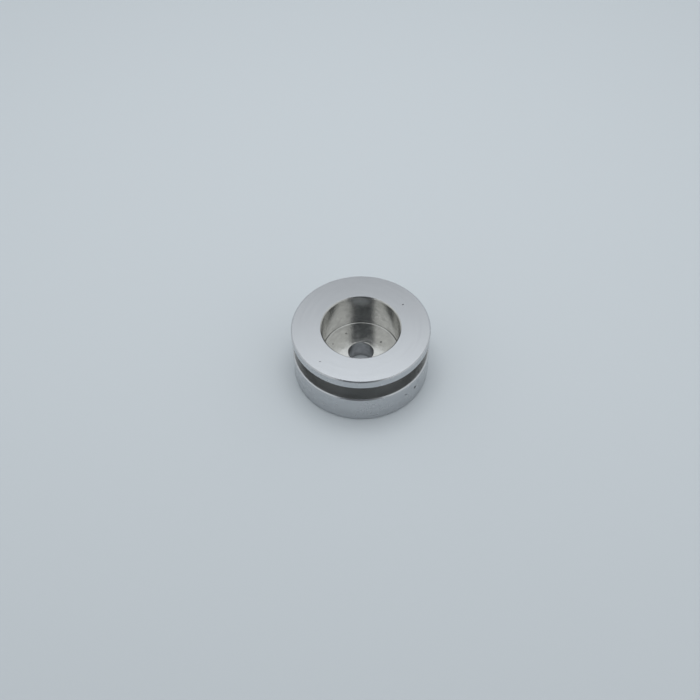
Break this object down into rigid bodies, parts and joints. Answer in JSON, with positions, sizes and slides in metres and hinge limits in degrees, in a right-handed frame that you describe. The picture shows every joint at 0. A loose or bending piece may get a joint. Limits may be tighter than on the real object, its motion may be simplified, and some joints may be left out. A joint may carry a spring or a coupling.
{
  "type": "turned part",
  "caption": "Round aluminium part with a thin top flange, a wide square groove, a thick base, a flat-bottomed bore and a central screw hole.",
  "frame": {"origin": "centre of the underside of the base", "axes": "+Z along the turning axis, out of the bore's mouth"},
  "size_m": [0.03, 0.03, 0.0132],
  "materials": {
    "body": "bright turned, fine circular tool marks"
  },
  "bodies": {
    "root": {"turned_body": "body"}
  },
  "joints": []
}
